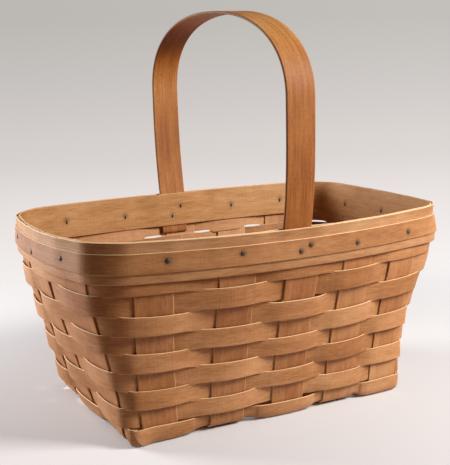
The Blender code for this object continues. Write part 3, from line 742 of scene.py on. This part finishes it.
edgeStrip(edgeStrips, "near", 1, 5, 1)
edgeStrip(edgeStrips, "right", 6, 8, 2)
edgeStrip(edgeStrips, "far", 9, 13, 3)
edgeStrip(edgeStrips, "left", 14, 16, 4)
print("edge strips laid")


bands = {
    # Offsets from the uprights: over the top weaver, and at the rim, where the stack is nailed tight.
    "outer": {"low": 0.144, "high": 0.178, "thickness": 0.0014, "offset": (0.0032, 0.0019),
              "joint": 0.656, "lines": 16, "tone": 0.52, "stain": 0.5},
    "narrow": {"low": 0.1523, "high": 0.1689, "thickness": 0.0012, "offset": (0.00475, 0.0035),
               "joint": 0.781, "lines": 10, "tone": 0.5, "stain": 0.85},
    "inner": {"low": 0.145, "high": 0.178, "thickness": 0.0014, "offset": (-0.0032, -0.0014),
              "joint": 0.22, "lines": 16, "tone": 0.58, "stain": 0.6},
    "tightFrom": 0.150,
    "pinch": 0.0006,        # the bands draw together between the uprights
    "pinchTurns": 0.22,     # from this far beside an upright, and over as much again
    "insetAtHandle": 0.0045,    # the inner band swells in over a handle leg,
    "handleClear": 0.002,       # starting this far beside it
    "ramp": 0.028,              # and easing off over this length
    "gapTurns": 0.0108,     # between a band's two ends, whose joint is at this share of the lap
    "step": 0.025,
    "leastStep": 0.003, "endClear": 0.01, "endLine": 0.004, "edge": 0.0004,
    "stainReach": 0.0030, "stainTurns": 0.05, "stainLines": 11,
    "toneDrift": 0.09, "toneSeed": 400, "grainSeed": 60,
}
handle = {
    "width": 0.0282, "thickness": 0.0024,
    "x": 0.002,             # its middle along the basket
    "lean": 0.0017,         # how far its arch stands towards the far side
    "span": 0.263, "top": 0.361,            # outside measures
    "upright": 2,           # a leg stands behind the middle upright of each long wall,
    "inset": 0.0023,        # this far in from the wall's middle
    "foot": 0.137, "rim": 0.178, "shoulder": 0.2857,    # heights where the legs start, leave the wall, end
    "slope": 0.2,           # how far the legs bow out between the rim and the shoulder
    "power": 2.27,          # the arch is a little squarer than an ellipse, which has 2
    "legLines": 15, "bowLines": 31, "archLines": 121, "lines": 9, "edge": 0.0007, "endLine": 0.15,
    "edgeShare": 0.5,       # its edges are rounded to half of its thickness
    "tone": 0.52, "toneDrift": 0.1, "toneSeed": 501, "grainSeed": 71,
    # Painted highlight over the near shoulder, painted light over the top, and painted shade over the far
    # shoulder, whose bend turns down away from the lamps: place on the way from the near foot, 0, to the far
    # foot, 16, then its reach and how much lighter.
    "paintedLightAndShade": ((10.8, 0.9, -0.3), (6.0, 1.3, 0.24), (9.0, 0.7, 0.15)),
}
tackSpots = {
    # By station: how far a tack is above the narrow band's middle and beside its upright's, as
    # shares of their half widths. They were driven by eye.
    "rises": (0.05, 0.15, 0.22, -0.27, -0.27, -0.15, 0.1, -0.1, -0.2, 0.1, 0.0, 0.55, -0.1, 0.15, 0.05, -0.5),
    "besides": (-0.6, 0.8, 0.14, 0.0, -0.42, -0.08, 0.0, -0.78, -0.24, 0.0, 0.0, 0.0, 0.0, -0.48, 0.0, 0.0),
    # The two at a handle leg: their middle beside the leg's, half their distance, the second's rise.
    "pairOffset": {"near": 0.006, "far": 0.0025},
    "pairHalf": 0.005,
    "secondRise": {"near": 0.25, "far": -0.55},
}


def bandOffset(b, which, turn, z):
    # The band's middle leaves its lower offset at tightFrom and eases to its rim offset, which is
    # less between two uprights.
    low, high = b[which]["offset"]
    beside = np.abs(turn - np.round(turn))
    pinched = ease((beside - b["pinchTurns"]) / b["pinchTurns"])
    high = high - math.copysign(b["pinch"], high) * pinched
    return blend(low, high, ease((z - b["tightFrom"]) / (b[which]["high"] - b["tightFrom"])))


def tackFrames(s):
    # For every tack: its node, turn, height and whether a handle leg is behind it.
    low, high = bands["narrow"]["low"], bands["narrow"]["high"]
    middle, half = (low + high) / 2, (high - low) / 2
    found = []
    walls = (("near", nearStations), ("right", rightStations), ("far", farStations), ("left", leftStations))
    for side, stations in walls:
        for place, station in enumerate(stations):
            rise = s["rises"][station]
            if side in ("near", "far") and place == handle["upright"]:
                beside = handle["x"] + s["pairOffset"][side] - crossX(wall, place, 1)
                beside = beside if side == "near" else -beside
                for letter, way, up in (("a", -1, rise), ("b", 1, s["secondRise"][side])):
                    turn = station + flatShare * (beside + way * s["pairHalf"]) / wall["flatReach"]
                    found.append((f"handle_tack_{side}_{letter}", turn, middle + up * half, True))
            else:
                beside = s["besides"][station] * (uprights["width"] / 2)
                turn = station + flatShare * beside / wall["flatReach"]
                found.append((f"rim_tack_{side}_{place + 1}", turn, middle + rise * half, False))
    return found


tacks = tackFrames(tackSpots)


def tackStain(centre, which, reach, strength):
    # Dark wood round each tack: falls off with the square of the distance over the reach.
    total = np.zeros(centre.shape[:2])
    for name, turn, z, atHandle in tacks:
        spot = onWall(np.array(turn), z, bandOffset(bands, which, turn, z))
        away = np.linalg.norm(centre - spot, axis=-1)
        total = np.maximum(total, strength * np.exp(-(away / reach) ** 2))
    return total


def tackTurns(b, start):
    # Closer lines round each tack, so that its stain is smooth.
    turns = np.array([turn for name, turn, z, atHandle in tacks])
    near = turns[:, None] + np.linspace(-b["stainTurns"], b["stainTurns"], b["stainLines"])
    return (near.ravel() - start) % stationCount + start


def rimBand(b, which, node, material, seed):
    # A plain band round the wall at one offset. The inner one swells inwards over the handle's legs.
    s = b[which]
    start = s["joint"] * stationCount
    end = start + stationCount - b["gapTurns"]
    turns = np.sort(np.concatenate([np.arange(start, end, b["step"]), tackTurns(b, start)]))
    turns = turns[(turns > start + b["endClear"]) & (turns < end - b["endClear"])]
    turns = turns[np.append(True, np.diff(turns) > b["leastStep"])]
    turns = withEnds(np.concatenate([[start], turns, [end]]), b["endLine"])
    width = s["high"] - s["low"]
    z = s["low"] + acrossShares(width, s["lines"], b["edge"]) * width
    offset = bandOffset(b, which, turns[:, None], z[None])
    centre = onWall(turns[:, None], z[None], offset)
    if which == "inner":
        beside = np.abs(centre[..., 0] - handle["x"]) - handle["width"] / 2 - b["handleClear"]
        part = ease(1 - beside / b["ramp"])
        centre = onWall(turns[:, None], z[None], blend(offset, -b["insetAtHandle"], part))
    stain = tackStain(centre, which, b["stainReach"], s["stain"])
    tone = s["tone"] + b["toneDrift"] * ripple(turns, b["toneSeed"] + seed, 7)
    piece = splintMesh(f"rimBand_{which}", centre, s["thickness"], tone[:, None], stain,
                       grainSeed=b["grainSeed"] + seed)
    piece.data.materials.append(material)
    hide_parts(node)
    return piece


rimBand(bands, "outer", "outer_rim_band", bandWood, 1)
rimBand(bands, "narrow", "narrow_rim_band", trimWood, 2)
rimBand(bands, "inner", "inner_rim_band", insideWood, 3)
print("rim bands fitted")


def handlePath(h):
    # Foot to rim along the wall, a cubic bow to the shoulder, then the upper half of a
    # superellipse, and down the other side. Each x has its own path, because the wall is bowed.
    def leg(side, x):
        heights = np.linspace(h["foot"], h["rim"], h["legLines"])
        turns = [turnWhere(z, x, side > 0) for z in heights]
        y = onWall(np.array(turns), heights, np.full(h["legLines"], -h["inset"]))[:, 1]
        shoulderY = side * (h["span"] - h["thickness"]) / 2 + h["lean"] + wall["shiftY"]
        rise = h["shoulder"] - h["rim"]
        share = np.linspace(0, 1, h["bowLines"])[1:]
        first = 2 * share ** 3 - 3 * share ** 2 + 1
        bow = (share ** 3 - 2 * share ** 2 + share) * side * h["slope"] * rise
        y = np.append(y, blend(shoulderY, y[-1], first) + bow)
        return np.stack([y, np.append(heights, h["rim"] + share * rise)], -1)

    half = (h["span"] - h["thickness"]) / 2
    rise = h["top"] - h["thickness"] / 2 - h["shoulder"]
    angle = np.linspace(0, math.pi, h["archLines"])[1:-1]
    y = -half * np.sign(np.cos(angle)) * np.abs(np.cos(angle)) ** (2 / h["power"])
    y = y + h["lean"] + wall["shiftY"]
    arch = np.stack([y, h["shoulder"] + rise * np.sin(angle) ** (2 / h["power"])], -1)
    return lambda x: np.concatenate([leg(-1, x), arch, leg(1, x)[::-1]])


def handleBand(h):
    path = handlePath(h)
    shares = acrossShares(h["width"], h["lines"], h["edge"])
    xs = h["x"] + (shares - 0.5) * h["width"]
    low, high = path(xs[0]), path(xs[-1])
    lines = blend(low[:, None], high[:, None], shares[None, :, None])
    centre = np.concatenate([np.broadcast_to(xs[None, :, None], lines.shape[:2] + (1,)), lines], -1)
    centre = closeEnds(centre, h["endLine"])
    run = np.linspace(0, stationCount, len(centre))
    tone = h["tone"] + h["toneDrift"] * ripple(run, h["toneSeed"], 6)
    # Painted light and shade along the handle, added to its wood tone.
    for place, reach, lighter in h["paintedLightAndShade"]:
        tone = tone + lighter * np.exp(-((run - place) / reach) ** 2)
    # Only the left side edge and the ends take the dark edge colour; the left side's is painted shade.
    piece = splintMesh("bentHandle", centre[:, ::-1], h["thickness"], tone[:, None],
                       edgeShare=h["edgeShare"], grainSeed=h["grainSeed"], edgeColourSides=(0, 1))
    piece.data.materials.append(handleWood)
    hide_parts("handle_band")
    return piece


handleBand(handle)
print("handle bent")


tackShape = {
    "headRadius": 0.0021, "headHeight": 0.0007, "shankRadius": 0.0006, "tip": 0.003, "bend": 0.0009,
    "gap": 0.0001, "underHead": 0.00005, "underRadius": 0.98, "tipShare": 0.8,
    "domeRings": 5, "bendRings": 6, "sides": 14, "leanRise": 0.004,
    "colours": ("#2E1D13", "#5F4430"), "colourStops": (0.3, 0.7), "rough": (0.45, 0.65), "metal": 0.3,
    "patchMm": 10 / 9, "patchDetail": 3.0,
}


def tackSteel(s):
    # Blued steel tack, hammered: dark, soft shine, browner where it has rusted a little.
    material, tree, shader = newMaterial("bluedSteelTack")
    place = addNode(tree, "ShaderNodeTexCoord").outputs["Object"]
    patch = addNode(tree, "ShaderNodeTexNoise", {
        "Vector": place, "Scale": 1000 / s["patchMm"], "Detail": s["patchDetail"]}).outputs[0]
    stops = [(at, linear(colour)) for at, colour in zip(s["colourStops"], s["colours"])]
    colour = addNode(tree, "ShaderNodeValToRGB", {"Fac": patch}, stops=stops).outputs[0]
    tree.links.new(colour, shader.inputs["Base Color"])
    tree.links.new(mapped(tree, patch, 0.0, 1.0, *s["rough"]), shader.inputs["Roughness"])
    shader.inputs["Metallic"].default_value = s["metal"]
    return material


steel = tackSteel(tackShape)


def tackPiece(s, name, turn, z, atHandle):
    # A profile turned round the tack's axis: domed head, shank, then the tip bent down inside.
    seatOffset = bandOffset(bands, "narrow", turn, z) + bands["narrow"]["thickness"] / 2 + s["gap"]
    inset = bands["insetAtHandle"] if atHandle else -bandOffset(bands, "inner", turn, z)
    depth = seatOffset + inset + bands["inner"]["thickness"] / 2 + s["gap"] + s["shankRadius"]
    # Each ring: its middle's height and depth, its tilt and its radius.
    angle = np.linspace(0, math.pi / 2, s["domeRings"])[1:]
    rings = [(0, s["headHeight"] * math.cos(a), 0, s["headRadius"] * math.sin(a)) for a in angle]
    rings += [(0, -s["underHead"], 0, s["headRadius"] * s["underRadius"]),
              (0, -s["underHead"], 0, s["shankRadius"])]
    rings += [(-s["bend"] * (1 - math.cos(a)), s["bend"] * (1 - math.sin(a)) - depth, a, s["shankRadius"])
              for a in np.linspace(0, math.pi / 2, s["bendRings"])]
    rings += [(-s["tip"] * s["tipShare"], -depth, math.pi / 2, s["shankRadius"] * s["tipShare"])]
    rings = np.array(rings)
    turnAngle = np.linspace(0, 2 * math.pi, s["sides"], endpoint=False)
    across, up = rings[:, 3:] * np.cos(turnAngle), rings[:, 3:] * np.sin(turnAngle)
    local = np.stack([across, rings[:, :1] + up * np.cos(rings[:, 2:3]),
                      rings[:, 1:2] - up * np.sin(rings[:, 2:3])], -1)
    seat = onWall(np.array(turn), z, np.array(seatOffset))
    higher = z + s["leanRise"]
    lean = bandOffset(bands, "narrow", turn, higher) - bandOffset(bands, "narrow", turn, z)
    above = onWall(np.array(turn), higher, np.array(seatOffset + lean))
    upward = Vector(above - seat).normalized()
    flat = wallLookup(wallOutward, turn, z)
    outward = Vector((float(flat[0]), float(flat[1]), 0))
    outward = (outward - upward * outward.dot(upward)).normalized()
    along = upward.cross(outward)
    axes = np.array([along, upward, outward])
    poles = ([[0, 0, s["headHeight"]]], [[0, -s["tip"], -depth]])
    points = seat + np.concatenate([poles[0], local.reshape(-1, 3), poles[1]]) @ axes
    n = len(turnAngle)
    index = 1 + np.arange(len(points) - 2).reshape(-1, n)
    ahead = np.roll(index, -1, 1)
    sides = np.stack([index[:-1], index[1:], ahead[1:], ahead[:-1]], -1).reshape(-1, 4)
    crown = np.stack([np.zeros(n, int), index[0], ahead[0]], -1)
    point = np.stack([index[-1], np.full(n, len(points) - 1), ahead[-1]], -1)
    mesh = smoothMesh(name, points, sides.tolist() + crown.tolist() + point.tolist())
    mesh.materials.append(steel)
    piece = addPiece(name.replace("tack", "nail"), mesh)
    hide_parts(name)
    return piece


for name, turn, z, atHandle in tacks:
    tackPiece(tackShape, name, turn, z, atHandle)
print("tacks driven:", len(tacks))


studio = {
    "yaw": cameraSettings["yaw"], "nearEdge": -16.0, "runFrom": -1.9, "floorEnd": 1.8, "bend": 0.6,
    "wallTop": 2.6, "halfWidth": 16.0, "middleHalf": 3,
    "floorLines": 60, "bendLines": 25, "sideLines": 41,
    "paleFloor": "#D5D2D2", "rough": 0.9, "specular": 0.1,
    "bounce": "#94683F",    # away from the basket the paper throws back the light of a brown room
    "bounceFrom": 0.12, "bounceTo": 0.34,
    # The backdrop's glow by distance along the paper, as a share of runLength: painted light and shade,
    # palest just beyond the basket and greyer towards the top.
    "backStops": [(0.0, "#DDD6D1"), (0.29, "#E9E2DD"), (0.36, "#FDFAF9"), (0.42, "#F8F3F1"),
                  (0.46, "#F2ECEB"), (0.55, "#E9E2E0"), (0.66, "#DCD6D3"), (0.74, "#C3BFBB")],
    "runLength": 6.0,
    "baseHalf": (0.136, 0.088), "baseEdge": 0.016,
    "leftShade": 0.92, "rightShade": 1.0, "shadeHalf": 0.6,
    "nearGlow": 0.2, "fadeFrom": 0.3, "fadeTo": 0.64,
}


def sweepMesh(s):
    # Profile: level floor, a quarter circle up, then a straight wall; carried sideways.
    a = np.linspace(0, math.pi / 2, s["bendLines"])
    level = np.append(s["nearEdge"], np.linspace(s["runFrom"], s["floorEnd"], s["floorLines"])[:-1])
    back = s["floorEnd"] + s["bend"]
    forward = np.concatenate([level, s["floorEnd"] + s["bend"] * np.sin(a), [back]])
    up = np.concatenate([np.zeros(s["floorLines"]), s["bend"] * (1 - np.cos(a)), [s["wallTop"]]])
    middle = np.linspace(-s["middleHalf"], s["middleHalf"], s["sideLines"])
    side = np.concatenate([[-s["halfWidth"]], middle, [s["halfWidth"]]])
    yaw = math.radians(s["yaw"])
    x = forward[:, None] * math.sin(yaw) + side * math.cos(yaw)
    y = forward[:, None] * math.cos(yaw) - side * math.sin(yaw)
    grid = np.stack([x, y, np.broadcast_to(up[:, None], x.shape)], -1)
    index = np.arange(grid[..., 0].size).reshape(x.shape)
    faces = np.stack([index[:-1, :-1], index[:-1, 1:], index[1:, 1:], index[1:, :-1]], -1).reshape(-1, 4)
    mesh = smoothMesh("paperSweep", grid.reshape(-1, 3), faces)
    # Its map: metres sideways, and metres along the paper from runFrom.
    run = np.concatenate([[0], np.cumsum(np.hypot(np.diff(forward), np.diff(up)))])
    run = run + s["nearEdge"] - s["runFrom"]
    uv = np.stack([np.broadcast_to(side, x.shape), np.broadcast_to(run[:, None], x.shape)], -1)
    addMap(mesh, "sweep", uv.reshape(-1, 2))
    return mesh


def sweepPaper(s):
    # Matt paper. The camera sees a glow of painted light and shade far from the basket, and the lit paper
    # near it.
    material, tree, shader = newMaterial("mattPaperSweep")
    shader.inputs["Roughness"].default_value = s["rough"]
    shader.inputs["Specular IOR Level"].default_value = s["specular"]
    uv = addNode(tree, "ShaderNodeUVMap", uv_map="sweep").outputs[0]
    side, run, _ = addNode(tree, "ShaderNodeSeparateXYZ", {0: uv}).outputs
    shade = addNode(tree, "ShaderNodeValToRGB", {"Fac": mapped(tree, run, 0.0, s["runLength"])},
                    stops=[(place, linear(colour)) for place, colour in s["backStops"]]).outputs[0]
    tilt = mapped(tree, side, -s["shadeHalf"], s["shadeHalf"], s["leftShade"], s["rightShade"])
    glow = addNode(tree, "ShaderNodeEmission", {"Color": shade, "Strength": tilt}).outputs[0]

    # How much of that painted glow shows: a little near the basket, where it lifts the shadows, and more with
    # the distance from its middle.
    place = addNode(tree, "ShaderNodeTexCoord").outputs["Object"]
    away = addNode(tree, "ShaderNodeVectorMath", {0: place}, operation="LENGTH").outputs["Value"]
    far = mapped(tree, away, s["fadeFrom"], s["fadeTo"], s["nearGlow"], 1.0, "SMOOTHSTEP")
    # Under the basket only real light shows: how far the place is outside the base's rectangle.
    flat = addNode(tree, "ShaderNodeSeparateXYZ", {0: place}).outputs
    gaps = [maths(tree, "SUBTRACT", maths(tree, "ABSOLUTE", value), half)
            for value, half in zip(flat, s["baseHalf"])]
    clear = mapped(tree, maths(tree, "MAXIMUM", *gaps), 0.0, s["baseEdge"], curve="SMOOTHSTEP")
    far = maths(tree, "MULTIPLY", far, clear)
    rays = addNode(tree, "ShaderNodeLightPath").outputs
    seen = maths(tree, "MAXIMUM", rays["Is Camera Ray"], rays["Is Glossy Ray"])
    seen = maths(tree, "MAXIMUM", seen, rays["Is Transmission Ray"])
    factor = maths(tree, "MULTIPLY", far, seen)

    # Light thrown back from far off is brown, and all that is seen is pale.
    beside = mapped(tree, away, s["bounceFrom"], s["bounceTo"], 1.0, 0.0)
    pale = maths(tree, "MAXIMUM", beside, seen)
    paper = addNode(tree, "ShaderNodeMix", {
        "Factor": pale, 6: linear(s["bounce"]), 7: linear(s["paleFloor"])}, data_type="RGBA").outputs[2]
    tree.links.new(paper, shader.inputs["Base Color"])
    mix = addNode(tree, "ShaderNodeMixShader", {0: factor, 1: shader.outputs[0], 2: glow})
    tree.links.new(mix.outputs[0], tree.nodes["Material Output"].inputs["Surface"])
    return material


sweep = bpy.data.objects.new("paperSweep", sweepMesh(studio))
sweep.data.materials.append(sweepPaper(studio))
scene.collection.objects.link(sweep)

lamps = {
    # name: place, aimed at, width, height, watts, colour
    "keyRight": ((0.74, -0.73, 0.80), (0.0, -0.02, 0.10), 0.46, 0.46, 25.0, "#FFFEFC"),
    "fillLeft": ((-0.75, 0.76, 0.40), (0.0, -0.02, 0.10), 0.55, 0.55, 18.8, "#FBFBFD"),
}


def addLamp(name, place, target, width, height, watts, colour):
    data = bpy.data.lights.new(name, "AREA")
    data.shape = "RECTANGLE"
    data.size, data.size_y = width, height
    data.energy = watts
    data.color = linear(colour)[:3]
    lamp = bpy.data.objects.new(name, data)
    lamp.location = place
    lamp.rotation_euler = (Vector(target) - Vector(place)).to_track_quat("-Z", "Y").to_euler()
    scene.collection.objects.link(lamp)


for name, values in lamps.items():
    addLamp(name, *values)
air = {"colour": "#F4EEE8", "strength": 0.03}
world = bpy.data.worlds.new("studioAir")
world.use_nodes = True
world.node_tree.nodes["Background"].inputs["Color"].default_value = linear(air["colour"])
world.node_tree.nodes["Background"].inputs["Strength"].default_value = air["strength"]
scene.world = world
scene.view_settings.view_transform = "Standard"
print("studio lit")
